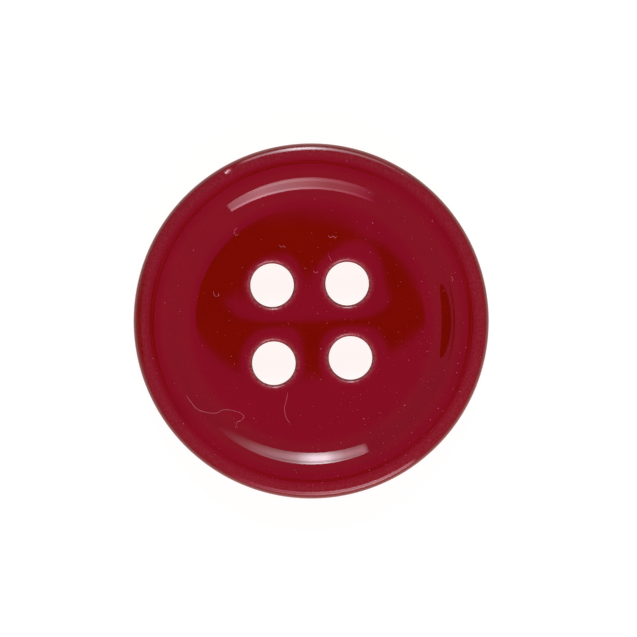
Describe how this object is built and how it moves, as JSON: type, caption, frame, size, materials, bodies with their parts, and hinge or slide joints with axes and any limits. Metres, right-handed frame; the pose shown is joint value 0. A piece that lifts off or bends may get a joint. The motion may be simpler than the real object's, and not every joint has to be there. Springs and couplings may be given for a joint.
{
  "type": "four-hole sewing button",
  "caption": "Round sew-through button with a hollow dished face, a rolled rim, a gently curved back and thread holes through its floor.",
  "frame": {"origin": "middle of the back, on the surface that the button lies on", "axes": "+Z out of the face, along the button's axis; +Y towards the top of the picture and +X towards its right"},
  "size_m": [0.018, 0.018, 0.003],
  "materials": {
    "polished_resin": "dark red cast resin, tumble polished to a high gloss"
  },
  "bodies": {
    "root": {"button": "polished_resin"}
  },
  "joints": []
}
